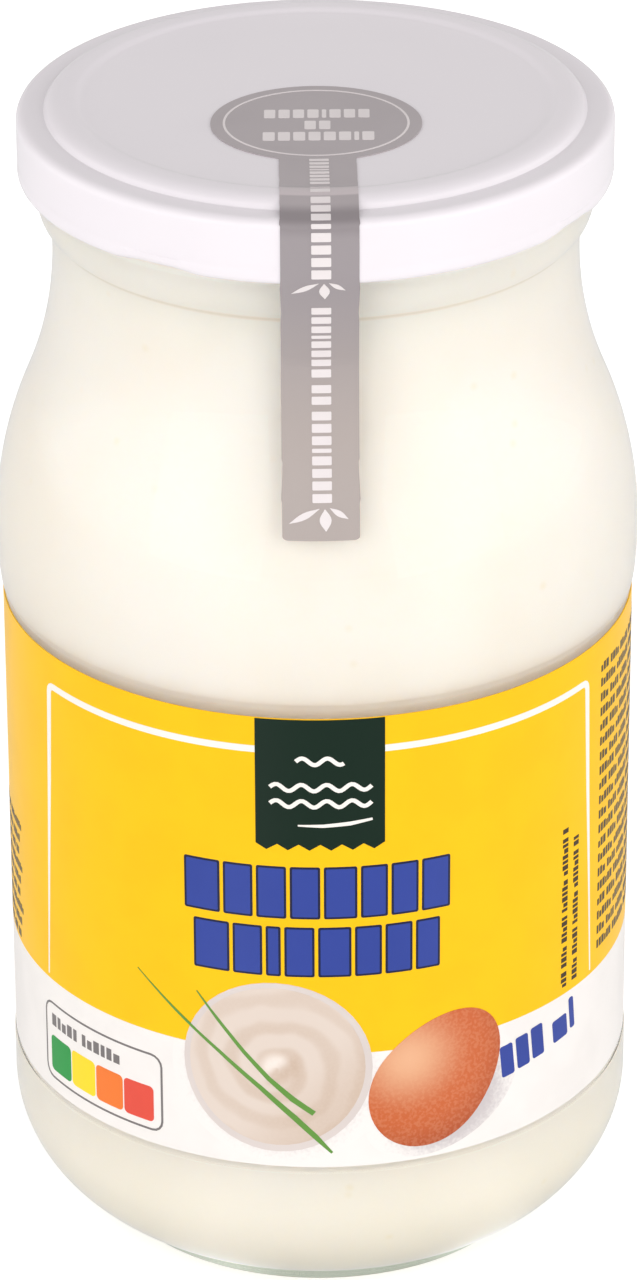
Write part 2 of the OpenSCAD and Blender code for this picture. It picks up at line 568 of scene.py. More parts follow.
@dataclass(frozen=True)
class Film(Finish):
    """Thin grey film, with painted shade on the lid's ledge, slope and skirt, a painted highlight along the
    ring's ridge and a warmer tone down the glass.
    """

    # Painted light and shade by height: a highlight on the ridge, shade on the ledge, slope and skirt.
    ridge_painted_highlight: Colour = srgb(196, 186, 189)
    ledge_painted_shade: Colour = srgb(140, 133, 136)
    skirt_painted_shade: Colour = srgb(152, 145, 148)
    over_glass: Colour = srgb(170, 160, 156)

    def surface(self, tree: bpy.types.NodeTree, where: bpy.types.NodeSocket) -> bpy.types.NodeSocket:
        """Colour of the film: painted shade on the ledge, slope and skirt, a painted highlight on the
        ridge, warmer down the glass.

        Args:
            tree: The material's tree.
            where: Coordinates.

        Returns:
            The colour's socket.
        """
        height = put(tree, "SeparateXYZ", {0: where}).outputs["Z"]
        # Painted shade over the ledge and slope, then over the skirt, warmer down the glass, and a painted
        # highlight on the ridge.
        with_ledge_shade = mix(tree, span(tree, height, 0.1420, 0.1426), self.ledge_painted_shade, super().surface(tree, where))
        with_skirt_shade = mix(tree, span(tree, height, 0.1395, 0.1412), self.skirt_painted_shade, with_ledge_shade)
        low = mix(tree, span(tree, height, 0.112, 0.136), self.over_glass, with_skirt_shade)
        return mix(tree, span(tree, height, 0.14288, 0.14298), low, self.ridge_painted_highlight)


@dataclass(frozen=True)
class StudioFloor(Finish):
    """Plain pale paper floor on a light table, and what shiny faces mirror of it."""

    glow: float = 0.2
    seen: float = 0.3
    dim: float = 0.75
    bands: tuple = ((-26.0, 20.0, 0.5), (44.0, 20.0, 0.5))
    far: tuple = ((-86.0, 60.0, 0.85), (86.0, 60.0, 0.85))
    far_reach: tuple = (0.25, 1.6)
    cool: Colour = (1.0, 0.99, 0.985, 1.0)

    def complete(self, tree: bpy.types.NodeTree, shader: bpy.types.Node, out: bpy.types.Node) -> None:
        """Light the floor, and give shiny faces its bands to mirror.

        Args:
            tree: The material's tree.
            shader: The paper's shader.
            out: The material's output.
        """
        path = put(tree, "LightPath")
        shader.inputs["Emission Color"].default_value = self.cool
        lift = maths(tree, "MULTIPLY", path.outputs["Is Camera Ray"], self.seen)
        tree.links.new(maths(tree, "ADD", lift, self.glow), shader.inputs["Emission Strength"])
        where = put(tree, "TexCoord").outputs["Object"]
        axes = put(tree, "SeparateXYZ", {0: where})
        ahead = maths(tree, "MULTIPLY", axes.outputs["Y"], -1.0)
        side = maths(tree, "ARCTAN2", axes.outputs["X"], ahead)
        apart = put(tree, "VectorMath", {0: where}, operation="LENGTH").outputs["Value"]
        remote = span(tree, apart, *self.far_reach)
        edges = maths(tree, "MULTIPLY", self._bands(tree, side, self.far), remote)
        level = maths(tree, "ADD", maths(tree, "ADD", self._bands(tree, side, self.bands), edges), self.dim)
        mirrored = put(tree, "Emission", {"Strength": level})
        through = maths(tree, "SUBTRACT", 1.0, path.outputs["Is Transmission Ray"])
        shiny = maths(tree, "MULTIPLY", path.outputs["Is Glossy Ray"], through)
        both = put(tree, "MixShader", {0: shiny, 1: shader.outputs[0], 2: mirrored.outputs[0]})
        tree.links.new(both.outputs[0], out.inputs[0])

    @staticmethod
    def _bands(tree: bpy.types.NodeTree, side: bpy.types.NodeSocket, bands: tuple) -> bpy.types.NodeSocket:
        """Sum soft bands of brightness round the jar.

        Args:
            tree: The material's tree.
            side: Angle from the front.
            bands: Middle and reach in degrees and peak of each band.

        Returns:
            The sum's socket.
        """
        level = None
        for middle, reach, peak in bands:
            away = maths(tree, "ABSOLUTE", maths(tree, "SUBTRACT", side, math.radians(middle)))
            band = span(tree, away, 0.0, math.radians(reach), peak, 0.0)
            level = band if level is None else maths(tree, "ADD", band, level)
        return level


# ---------------------------------------------------------------- modelling


class Outline:
    """Half section of a turned piece, in millimetres of radius and height."""

    def __init__(self, radius: float, height: float) -> None:
        """Start at one point."""
        self.points: list[tuple[float, float]] = [(radius, height)]

    def line(self, radius: float, height: float, parts: int = 1) -> "Outline":
        """Draw straight on, in equal parts.

        Args:
            radius: Radius of the end.
            height: Height of the end.
            parts: Number of parts.

        Returns:
            The outline itself.
        """
        from_radius, from_height = self.points[-1]
        for step in range(1, parts + 1):
            share = step / parts
            self._add(from_radius + (radius - from_radius) * share,
                      from_height + (height - from_height) * share)
        return self

    def arc(self, centre: tuple[float, float], wide: float, tall: float,
            start: float, end: float, parts: int) -> "Outline":
        """Draw an arc of an upright ellipse.

        Args:
            centre: Radius and height of its middle.
            wide: Half width.
            tall: Half height.
            start: First angle in degrees.
            end: Last angle in degrees.
            parts: Number of parts.

        Returns:
            The outline itself.
        """
        for step in range(parts + 1):
            angle = math.radians(start + (end - start) * step / parts)
            self._add(centre[0] + wide * math.cos(angle), centre[1] + tall * math.sin(angle))
        return self

    def swan(self, radius: float, height: float, parts: int) -> "Outline":
        """Draw two equal arcs that stand upright at both ends.

        Args:
            radius: Radius of the end.
            height: Height of the end.
            parts: Number of parts of each arc.

        Returns:
            The outline itself.
        """
        start = self.points[-1]
        low, high = (start, (radius, height)) if height > start[1] else ((radius, height), start)
        size = ((low[0] - high[0]) ** 2 + (high[1] - low[1]) ** 2) / (4 * (low[0] - high[0]))
        turn = math.asin((high[1] - low[1]) / (2 * size))
        rise = [(low[0] - size * (1 - math.cos(turn * step / parts)),
                 low[1] + size * math.sin(turn * step / parts)) for step in range(parts + 1)]
        rise += [(high[0] + size * (1 - math.cos(turn * step / parts)),
                  high[1] - size * math.sin(turn * step / parts))
                 for step in range(parts - 1, -1, -1)]
        for point in rise if height > start[1] else reversed(rise):
            self._add(*point)
        return self

    def _add(self, radius: float, height: float) -> None:
        """Add a point that isn't where the last one is.

        Args:
            radius: Radius of the point.
            height: Height of the point.
        """
        last = self.points[-1]
        if abs(radius - last[0]) + abs(height - last[1]) > 1e-4:
            self.points.append((radius, height))


class Bench:
    """Modelling steps that the pieces share."""

    @staticmethod
    def clear() -> None:
        """Go to object mode with nothing selected."""
        if bpy.context.mode != "OBJECT":
            bpy.ops.object.mode_set(mode="OBJECT")
        bpy.ops.object.select_all(action="DESELECT")

    @staticmethod
    def begin(name: str) -> bpy.types.Object:
        """Start a piece as an empty mesh in edit mode.

        Args:
            name: Name of the piece.

        Returns:
            The new object.
        """
        Bench.clear()
        bpy.ops.mesh.primitive_plane_add(size=MM, location=(0, 0, 0))
        piece = bpy.context.object
        piece.name = name
        piece.data.name = name
        bpy.ops.object.mode_set(mode="EDIT")
        bpy.ops.mesh.delete(type="VERT")
        return piece

    @staticmethod
    def end(angle: float = 32.0) -> None:
        """Turn faces outwards, shade the piece smooth up to an angle and leave it.

        Args:
            angle: Largest smooth angle in degrees.
        """
        if bpy.context.mode != "OBJECT":
            bpy.ops.mesh.select_all(action="SELECT")
            bpy.ops.mesh.normals_make_consistent(inside=False)
            bpy.ops.object.mode_set(mode="OBJECT")
        bpy.ops.object.shade_smooth_by_angle(angle=math.radians(angle))

    @staticmethod
    def trace(points: list[Vector]) -> None:
        """Extrude one vertex along points, in edit mode.

        Args:
            points: Places in metres, the first where the vertex starts.
        """
        bpy.ops.mesh.select_all(action="DESELECT")
        bpy.ops.mesh.primitive_plane_add(size=MM, location=points[0])
        bpy.ops.mesh.merge(type="CENTER")
        at = points[0]
        for point in points[1:]:
            bpy.ops.mesh.extrude_region_move(TRANSFORM_OT_translate={"value": point - at})
            at = point

    @staticmethod
    def turn(name: str, outline: Outline, steps: int, angle: float = FULL_TURN,
             start: float = 0.0) -> bpy.types.Object:
        """Turn an outline about the axis into a surface.

        Args:
            name: Name of the piece.
            outline: Half section.
            steps: Number of steps round.
            angle: Angle turned through.
            start: Angle of the first section, from +X.

        Returns:
            The new object, still in edit mode.
        """
        piece = Bench.begin(name)
        side = Vector((math.cos(start), math.sin(start), 0.0))
        Bench.trace([side * radius * MM + Vector((0, 0, height * MM))
                     for radius, height in outline.points])
        bpy.ops.mesh.select_all(action="SELECT")
        bpy.ops.mesh.spin(steps=steps, angle=-angle, center=(0, 0, 0), axis=(0, 0, 1))
        bpy.ops.mesh.select_all(action="SELECT")
        bpy.ops.mesh.remove_doubles(threshold=1e-6)
        bpy.ops.mesh.normals_make_consistent(inside=False)
        return piece

    @staticmethod
    def modify(kind: str, **settings: object) -> None:
        """Add a modifier to the active piece and apply it.

        Args:
            kind: Modifier type.
            settings: Its settings.
        """
        bpy.ops.object.modifier_add(type=kind)
        modifier = bpy.context.object.modifiers[-1]
        for name, value in settings.items():
            setattr(modifier, name, value)
        bpy.ops.object.modifier_apply(modifier=modifier.name)

    @staticmethod
    def dress(piece: bpy.types.Object, *finishes: Finish) -> None:
        """Give a piece its finishes.

        Args:
            piece: The piece.
            finishes: Its finishes, in slot order.
        """
        piece.data.materials.clear()
        for finish in finishes:
            piece.data.materials.append(finish.build())

    @staticmethod
    def hand_over(piece: bpy.types.Object, slot: Slot, stands_for: str = "") -> None:
        """Fix a finished piece to the object.

        Args:
            piece: The piece.
            slot: Material slot of the record that it belongs to. Not used.
            stands_for: CAD node that it replaces, if any.
        """
        Bench.clear()
        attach(piece, "root")
        if stands_for:
            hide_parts(stands_for)
        LOG.info("%s: %d faces", piece.name, len(piece.data.polygons))


# ---------------------------------------------------------------- glass and cream


@dataclass
class JarBody:
    """The glass jar and the cream that fills it. Millimetres."""

    body: float = 37.2
    shoulder: float = 37.85
    heel: float = 37.45
    neck: float = 30.5
    bead: float = 32.3
    mouth: float = 31.3
    wall: float = 2.6
    foot: float = 27.0
    heel_mid: tuple[float, float] = (19.3, 16.2)
    heel_top: float = 21.6
    panel_top: float = 82.8
    shoulder_z: float = 89.5
    waist_z: float = 125.3
    crease_z: float = 128.4
    bead_z: float = 132.6
    rim_z: float = 141.2
    fill_z: float = 135.0
    floor_z: float = 4.2
    seep: float = 0.12
    steps: int = 256
    glass: Finish = ClearGlass("clear_glass", srgb(253, 255, 250), srgb(251, 254, 247), roughness=0.0,
                               amount=0.6, mottle_scale=35.0, grain_scale=70.0, grain_strength=0.12,
                               grain_depth=0.0003)
    cream: Finish = Cream("cream", srgb(253, 244, 241), srgb(251, 240, 233), roughness=0.55,
                          amount=0.75, mottle_scale=42.0, grain_scale=260.0, grain_strength=0.12,
                          grain_depth=0.0002)

    def inner(self, outline: Outline, grow: float) -> Outline:
        """Draw the inside of the wall from the middle of the floor up to the waist.

        Args:
            outline: Outline that stands at the middle of the floor.
            grow: Distance into the glass.

        Returns:
            The outline, at the waist.
        """
        wide = self.body - self.wall - self.heel_mid[0] + grow
        tall = self.heel_mid[1] - self.floor_z + grow
        outline.line(self.heel_mid[0], self.floor_z - grow, 6)
        outline.arc(self.heel_mid, wide, tall, -90, 0, 18)
        outline.line(self.body - self.wall + grow, self.panel_top, 6)
        outline.arc((self.body - self.wall + grow, self.shoulder_z), self.shoulder - self.body,
                    self.shoulder_z - self.panel_top, -90, 0, 10)
        bore = self.neck - self.wall + grow
        outline.swan(bore, self.waist_z, 16).line(bore, self.crease_z - 1.2, 2)
        outline.line(bore + 0.12, self.crease_z - 0.2)
        return outline.arc((bore, self.bead_z + 0.6), 0.75, 4.4, -62, 40, 8)

    def make_glass(self) -> bpy.types.Object:
        """Turn the jar's closed section.

        Returns:
            The glass.
        """
        foot_turn = math.degrees(math.acos((self.foot - self.heel_mid[0]) / (self.heel - self.heel_mid[0])))
        line = Outline(0, 1.2).line(21.6, 1.2, 5).arc((21.6, 0.2), 1.0, 1.0, 90, 30, 4).line(23.8, 0)
        line.line(26.4, 0, 2).arc((26.4, 0.6), 0.6, 0.6, -90, 0, 5)
        line.arc(self.heel_mid, self.heel - self.heel_mid[0], self.heel_mid[1], -foot_turn, 0, 24)
        line.line(self.heel, self.heel_top - 0.25, 2)
        line.arc((self.body, self.heel_top - 0.25), 0.25, 0.25, 0, 90, 4)
        line.line(self.body, self.panel_top, 8)
        line.arc((self.body, self.shoulder_z), self.shoulder - self.body,
                 self.shoulder_z - self.panel_top, -90, 0, 12)
        line.swan(self.neck, self.waist_z, 20).line(self.neck, self.crease_z - 0.5, 2)
        line.line(self.neck + 0.12, self.crease_z - 0.1)
        line.arc((self.neck, self.bead_z), self.bead - self.neck, self.bead_z - self.crease_z, -60, 0, 10)
        line.arc((self.mouth, self.bead_z), 1.0, 1.4, 15, 90, 6)
        line.arc((self.mouth - 0.8, self.rim_z - 0.8), 0.8, 0.8, 0, 90, 5)
        line.arc((self.neck - self.wall + 0.8, self.rim_z - 0.8), 0.8, 0.8, 90, 180, 5)
        line.line(self.neck - self.wall, self.rim_z - 3.0)
        inside = self.inner(Outline(0, self.floor_z), 0.0)
        for point in reversed(inside.points):
            line.line(*point)
        piece = Bench.turn("jar_glass", line, self.steps)
        Bench.end(40)
        Bench.dress(piece, self.glass)
        return piece

    def make_cream(self) -> bpy.types.Object:
        """Turn the filling, which reaches just into the glass.

        Returns:
            The filling.
        """
        line = self.inner(Outline(0, self.floor_z - self.seep), self.seep)
        line.points = [point for point in line.points if point[1] < self.fill_z - 0.9]
        line.arc((line.points[-1][0] - 1.1, self.fill_z - 0.9), 1.1, 0.9, 0, 90, 6)
        line.line(18.0, self.fill_z - 0.25, 2).line(9.0, self.fill_z - 0.1, 2).line(0, self.fill_z - 0.2)
        piece = Bench.turn("mayonnaise_fill", line, self.steps)
        Bench.end(60)
        Bench.dress(piece, self.cream)
        return piece

    def build(self) -> None:
        """Make both pieces and fix them in place."""
        Bench.hand_over(self.make_glass(), Slot.GLASS, "jar")
        Bench.hand_over(self.make_cream(), Slot.CREAM, "mayonnaise")


# ---------------------------------------------------------------- label


class Layer(Enum):
    """How far each layer of print stands off the label, in millimetres."""

    FIRST = 0.02
    SECOND = 0.035
    THIRD = 0.05
    FOURTH = 0.065


@dataclass
class Stamp:
    """Flat shapes of one ink, drawn in arc and height, then wrapped round the label."""

    name: str
    finish: Finish
    layer: Layer
    radius: float = 37.32
    sink: float = 0.02
    step: float = 1.2

    def __post_init__(self) -> None:
        """Open the piece for drawing."""
        self.piece = Bench.begin(self.name)

    def block(self, left: float, right: float, low: float, high: float, corner: float = 0.0,
              tilt: float = 0.0) -> None:
        """Draw an upright block.

        Args:
            left: Arc of its left side.
            right: Arc of its right side.
            low: Height of its foot.
            high: Height of its top.
            corner: Radius of its corners.
            tilt: Turn in degrees, anticlockwise as seen.
        """
        middle = Vector(((left + right) / 2 * MM, 0, (low + high) / 2 * MM))
        bpy.ops.mesh.select_all(action="DESELECT")
        bpy.ops.mesh.primitive_plane_add(size=1, location=middle, rotation=(math.pi / 2, 0, 0))
        bpy.ops.transform.resize(value=((right - left) * MM, 1, (high - low) * MM),
                                 center_override=middle)
        if corner:
            bpy.ops.mesh.bevel(offset=corner * MM, affect="VERTICES", segments=4)
        self._turn(middle, tilt)

    def disc(self, x: float, z: float, wide: float, tall: float, tilt: float = 0.0,
             steps: int = 48, narrow: float = 1.0) -> None:
        """Draw a filled ellipse.

        Args:
            x: Arc of its middle.
            z: Height of its middle.
            wide: Half width.
            tall: Half height.
            tilt: Turn in degrees, anticlockwise as seen.
            steps: Corners of its edge.
            narrow: Length of its right half against its left half.
        """
        middle = Vector((x * MM, 0, z * MM))
        bpy.ops.mesh.select_all(action="DESELECT")
        bpy.ops.mesh.primitive_circle_add(vertices=steps, radius=1, fill_type="NGON",
                                          location=middle, rotation=(math.pi / 2, 0, 0))
        bpy.ops.transform.resize(value=(wide * MM, 1, tall * MM), center_override=middle)
        if narrow != 1.0:
            self._stretch_right(middle, narrow)
        self._turn(middle, tilt)

    def frame(self, x: float, z: float, wide: float, tall: float, width: float, corner: float) -> None:
        """Draw a block's outline with round corners.

        Args:
            x: Arc of its middle.
            z: Height of its middle.
            wide: Half width.
            tall: Half height.
            width: Width of the line.
            corner: Radius of its corners.
        """
        self.block(x - wide, x + wide, z - tall, z + tall, corner)
        bpy.ops.mesh.inset(thickness=width * MM, depth=0)
        bpy.ops.mesh.delete(type="FACE")

    def ribbon(self, path: list[tuple[float, float, float]]) -> None:
        """Draw a tapering ribbon by extruding a short edge along a path.

        Args:
            path: Arc, height and width at each point.
        """
        bpy.ops.mesh.select_all(action="DESELECT")
        for index, (x, z, width) in enumerate(path):
            before = path[max(index - 1, 0)]
            after = path[min(index + 1, len(path) - 1)]
            along = Vector((after[0] - before[0], 0, after[1] - before[1])).normalized()
            aside = Vector((-along.z, 0, along.x)) * width / 2 * MM
            middle = Vector((x * MM, 0, z * MM))
            if index == 0:
                bpy.ops.mesh.primitive_plane_add(size=MM, location=middle - aside)
                bpy.ops.mesh.merge(type="CENTER")
                bpy.ops.mesh.extrude_region_move(TRANSFORM_OT_translate={"value": aside * 2})
                self._select_edge(middle - aside, middle + aside)
                self._at = (middle - aside, middle + aside)
                continue
            bpy.ops.mesh.extrude_region_move(TRANSFORM_OT_translate={"value": (0, 0, 0)})
            self._move_edge(middle - aside, middle + aside)

    def _select_edge(self, first: Vector, second: Vector) -> None:
        """Select the edge between two places.

        Args:
            first: One end, in metres.
            second: The other end.
        """
        bpy.ops.object.mode_set(mode="OBJECT")
        for vertex in self.piece.data.vertices:
            near = min((vertex.co - first).length, (vertex.co - second).length)
            vertex.select = near < 1e-7
        for edge in self.piece.data.edges:
            edge.select = all(self.piece.data.vertices[i].select for i in edge.vertices)
        bpy.ops.object.mode_set(mode="EDIT")

    def _move_edge(self, first: Vector, second: Vector) -> None:
        """Move the selected edge's ends to two new places.

        Args:
            first: One end, in metres.
            second: The other end.
        """
        bpy.ops.object.mode_set(mode="OBJECT")
        ends = [v for v in self.piece.data.vertices if v.select]
        start = self._at
        for vertex in ends:
            nearer = (vertex.co - start[0]).length < (vertex.co - start[1]).length
            vertex.co = first if nearer else second
        self._at = (first, second)
        bpy.ops.object.mode_set(mode="EDIT")

    def _stretch_right(self, middle: Vector, share: float) -> None:
        """Stretch the drawn shape's right half.

        Args:
            middle: Middle of the shape.
            share: Length of its right half against its left half.
        """
        bpy.ops.object.mode_set(mode="OBJECT")
        drawn = [v for v in self.piece.data.vertices if v.select]
        for vertex in drawn:
            if vertex.co.x > middle.x:
                vertex.co.x = middle.x + (vertex.co.x - middle.x) * share
        bpy.ops.object.mode_set(mode="EDIT")

    def clip_above(self, height: float) -> None:
        """Cut away what is drawn above a height."""
        bpy.ops.mesh.select_all(action="SELECT")
        bpy.ops.mesh.bisect(plane_co=(0, 0, height * MM), plane_no=(0, 0, 1), clear_outer=True)

    @staticmethod
    def _turn(middle: Vector, tilt: float) -> None:
        """Turn the drawn shape about its middle.

        Args:
            middle: Middle of the shape.
            tilt: Turn in degrees, anticlockwise as seen from the front.
        """
        if tilt:
            bpy.ops.transform.rotate(value=math.radians(tilt), orient_axis="Y",
                                     center_override=middle)

    def wrap(self) -> bpy.types.Object:
        """Cut the shapes into narrow strips, thicken them and bend them round the label.

        Returns:
            The finished print.
        """
        low, high = self._strips(0, self.step)
        self._face_front()
        thick = (self.layer.value + self.sink) * MM
        bpy.ops.transform.translate(value=(0, self.sink * MM, 0))
        bpy.ops.object.mode_set(mode="OBJECT")
        Bench.modify("SOLIDIFY", thickness=thick, offset=1.0)
        Bench.modify("SIMPLE_DEFORM", deform_method="BEND", deform_axis="Z",
                     angle=(high - low) / (self.radius * MM))
        bpy.ops.object.mode_set(mode="EDIT")
        bpy.ops.mesh.select_all(action="SELECT")
        bpy.ops.transform.translate(value=(0, -self.radius * MM, 0))
        Bench.end(40)
        Bench.dress(self.piece, self.finish)
        Bench.hand_over(self.piece, Slot.LABEL)
        return self.piece

    def _strips(self, axis: int, step: float) -> tuple[float, float]:
        """Cut the flat shapes into narrow strips.

        Args:
            axis: 0 to cut across the arc, 2 to cut across the height.
            step: Widest strip.

        Returns:
            The lowest and highest place along the axis, in metres.
        """
        bpy.ops.object.mode_set(mode="OBJECT")
        along = [v.co[axis] for v in self.piece.data.vertices]
        low, high = min(along), max(along)
        bpy.ops.object.mode_set(mode="EDIT")
        cuts = int((high - low) / (step * MM))
        way = Vector((1, 0, 0)) if axis == 0 else Vector((0, 0, 1))
        for index in range(1, cuts + 1):
            bpy.ops.mesh.select_all(action="SELECT")
            bpy.ops.mesh.bisect(plane_co=way * (low + (high - low) * index / (cuts + 1)), plane_no=way)
        bpy.ops.mesh.select_all(action="SELECT")
        bpy.ops.mesh.remove_doubles(threshold=1e-7)
        bpy.ops.mesh.normals_make_consistent(inside=False)
        return low, high

    def letters(self, start: float, end: float, low: float, high: float, seed: int,
                along_x: bool = True) -> None:
        """Draw a row of small blocks, grouped as words.

        Args:
            start: Where the row starts.
            end: Where it ends.
            low: Foot of the row, or its left side when it runs upwards.
            high: Top of the row, or its right side.
            seed: Number that varies the words.
            along_x: Whether the row runs along the arc.
        """
        size = (high - low) * 0.5
        at = start
        count = seed
        while at < end - size:
            for letter in range(3 + count * 7 % 6):
                wide = size * (0.8 + 0.4 * ((letter + count) % 3) / 2)
                if at + wide > end:
                    break
                tall = high if (letter + count) % 4 else high - size * 0.5
                if along_x:
                    self.block(at, at + wide, low, tall)
                else:
                    self.block(low + high - tall, high, at, at + wide)
                at += wide + size * 0.4
            at += size * 0.9
            count += 1

    def _face_front(self) -> None:
        """Turn the flat faces to the front."""
        bpy.ops.object.mode_set(mode="OBJECT")
        for face in self.piece.data.polygons:
            if face.normal.y > 0:
                face.flip()
        self.piece.data.update()
        bpy.ops.object.mode_set(mode="EDIT")
        bpy.ops.mesh.select_all(action="SELECT")


@dataclass
class StrapStamp(Stamp):
    """Flat shapes drawn across and along the seal's strap, then laid on it."""

    path: Outline | None = None
    lift: float = 0.125
    turn: float = 0.0

    def wrap(self) -> bpy.types.Object:
        """Cut the shapes into short strips, lay them on the strap and thicken them.

        Returns:
            The finished print.
        """
        self._strips(0, 0.9)
        self._strips(2, 0.3)
        self._face_front()
        bpy.ops.object.mode_set(mode="OBJECT")
        for vertex in self.piece.data.vertices:
            vertex.co = self._laid(vertex.co.x / MM, -vertex.co.z / MM)
        Bench.modify("SOLIDIFY", thickness=0.035 * MM, offset=1.0)
        Bench.end(40)
        Bench.dress(self.piece, self.finish)
        Bench.hand_over(self.piece, Slot.SEAL)
        return self.piece

    def _laid(self, across: float, along: float) -> Vector:
        """Find the place on the strap of a flat point.

        Args:
            across: Distance to the right of the strap's middle.
            along: Distance along the strap's path.

        Returns:
            The place, in metres.
        """
        at = 0.0
        points = self.path.points
        for index, (start, end) in enumerate(zip(points, points[1:])):
            long = math.dist(start, end)
            if along <= at + long or index == len(points) - 2:
                break
            at += long
        share = (along - at) / long
        step = ((end[0] - start[0]) / long, (end[1] - start[1]) / long)
        radius = start[0] + (end[0] - start[0]) * share - step[1] * self.lift
        height = start[1] + (end[1] - start[1]) * share + step[0] * self.lift
        flat = Vector((across, -math.sqrt(radius * radius - across * across), height))
        return Matrix.Rotation(math.radians(self.turn), 3, "Z") @ flat * MM


def share_row(left: float, right: float, widths: tuple, gap: float) -> list[tuple[float, float]]:
    """Share a row among blocks.

    Args:
        left: Start of the row.
        right: End of the row.
        widths: Relative widths of the blocks.
        gap: Space between two blocks.

    Returns:
        Left and right side of each block.
    """
    scale = (right - left - gap * (len(widths) - 1)) / sum(widths)
    sides = []
    at = left
    for width in widths:
        sides.append((at, at + width * scale))
        at += width * scale + gap
    return sides


def ink(name: str, red: int, green: int, blue: int, **changes: float) -> Finish:
    """Make an ink finish: one colour with a slight deeper tint.

    Args:
        name: Name of the finish.
        red: Red of 0 to 255.
        green: Green of 0 to 255.
        blue: Blue of 0 to 255.
        changes: Other settings of the finish.

    Returns:
        The finish.
    """
    settings = {"roughness": 0.32, "amount": 0.25, "mottle_scale": 120.0, "grain_scale": 1500.0,
                "grain_strength": 0.05, "specular": 0.3}
    settings.update(changes)
    deeper = srgb(int(red * 0.93), int(green * 0.93), int(blue * 0.93))
    return Finish(name, srgb(red, green, blue), deeper, **settings)


@dataclass
class WrapLabel:
    """The film round the jar and everything printed on it. Millimetres of arc and height."""

    radius: float = 37.32
    low: float = 22.3
    high: float = 81.8
    horizon: float = 37.7
    steps: int = 256
    white: Finish = ink("label_white", 236, 232, 229)
    yellow: Finish = ink("label_yellow", 247, 193, 22, specular=0.12)
    frame_white: Finish = ink("frame_white", 240, 236, 230)
    green: Finish = ink("banner_green", 9, 35, 23, specular=0.22)
    blue: Finish = ink("word_blue", 46, 66, 150)
    navy: Finish = ink("outline_navy", 18, 26, 60)
    dark: Finish = ink("text_dark", 62, 46, 20)
    grey: Finish = ink("panel_grey", 118, 113, 113)
    # Painted shadow: ink for a thin dark line along the label's overlapping edge.
    seam: Finish = ink("seam_shade", 160, 138, 92)
    rim: Finish = ink("bowl_rim", 213, 203, 199)
    chive: Finish = ink("chive_green", 96, 146, 62)
    bowl_shade: Finish = SoftShadow("bowl_shadow", srgb(206, 198, 198), srgb(236, 232, 229),
                                    centre=(-0.0046, 0.0351), reach=0.0119)
    egg_shade: Finish = SoftShadow("egg_shadow", srgb(196, 189, 190), srgb(236, 232, 229),
                                   centre=(0.0146, 0.0300), reach=0.0088)
    egg: Finish = EggInk("egg_shell", srgb(196, 97, 51), srgb(150, 60, 30), centre=(0.0104, 0.0362))
    swirl: Finish = SwirlInk("bowl_cream", srgb(217, 203, 192), srgb(188, 161, 138),
                             centre=(-0.0051, 0.0358))

    def make_film(self) -> bpy.types.Object:
        """Turn the film, white at its foot and yellow above.

        Returns:
            The film.
        """
        inside = self.radius - 0.17
        line = Outline(inside, self.low).line(self.radius - 0.03, self.low)
        line.line(self.radius, self.low + 0.03).line(self.radius, self.horizon, 2)
        line.line(self.radius, self.high - 0.03, 6).line(self.radius - 0.03, self.high)
        line.line(inside, self.high).line(inside, self.low, 4)
        piece = Bench.turn("label_film", line, self.steps)
        Bench.end(30)
        Bench.dress(piece, self.white, self.yellow)
        for face in piece.data.polygons:
            face.material_index = int(face.center.z > self.horizon * MM)
        return piece

    def frame_lines(self) -> None:
        """Print the white frame, which the banner breaks at its top."""
        stamp = Stamp("frame_line", self.frame_white, Layer.FIRST)
        top = 77.73
        for side in (-1, 1):
            run = [(side * 38.85, 38.3, 0.25), (side * 38.2, 52.0, 0.45), (side * 37.6, 64.0, 0.7)]
            bend = [(side * 37.1, 76.83, 0.88), (side * 37.02, 77.2, 0.88), (side * 36.8, 77.5, 0.88),
                    (side * 36.5, 77.68, 0.86), (side * 36.0, top, 0.85)]
            stamp.ribbon(run + bend + [(side * 20, top, 0.85), (side * 7.0, top, 0.85)])
        stamp.wrap()

    def banner(self) -> None:
        """Print the dark banner with its pinked foot and three plain waves."""
        stamp = Stamp("banner", self.green, Layer.SECOND)
        left, right, teeth = -7.3, 7.65, 6
        stamp.block(left, right, 65.6, 81.72)
        pitch = (right - left) / teeth
        for index in range(teeth):
            x = left + pitch * index
            stamp.ribbon([(x + pitch / 2, 65.62, pitch), (x + pitch / 2, 64.85, 0.02)])
        stamp.wrap()
        mark = Stamp("banner_waves", self.frame_white, Layer.THIRD)
        mark.ribbon([(-2.4, 68.1, 0.2), (0.5, 68.05, 0.42), (3.6, 68.3, 0.5), (6.2, 68.75, 0.3)])
        length, rise, width, steps = 2.9, 0.42, 0.52, 40
        for left, right, middle in ((-2.6, 2.9, 76.4), (-5.6, 6.1, 73.0), (-5.6, 6.1, 70.9)):
            waves = (right - left) / length
            mark.ribbon([(left + (right - left) * i / steps,
                          middle + rise * math.sin(FULL_TURN * waves * i / steps), width)
                         for i in range(steps + 1)])
        mark.wrap()

    def words(self) -> None:
        """Print two rows of plain blocks where words would stand."""
        rows = (("upper", -16.05, 15.6, 55.8, 62.65, (5, 4, 4, 4, 4.4, 3.6, 3.7, 4)),
                ("lower", -14.95, 14.35, 48.1, 54.7, (5, 4, 2, 4, 4.4, 3.6, 3.7, 3.4)))
        for name, left, right, low, high, widths in rows:
            edge = Stamp("word_edge_" + name, self.navy, Layer.FIRST)
            blocks = share_row(left, right, widths, 0.42)
            for start, end in blocks:
                edge.block(start, end, low, high, 0.25)
            edge.wrap()
            fill = Stamp("word_" + name, self.blue, Layer.SECOND)
            rim = 0.27
            for start, end in blocks:
                fill.block(start + rim, end - rim, low + rim, high - rim, 0.15)
            fill.wrap()

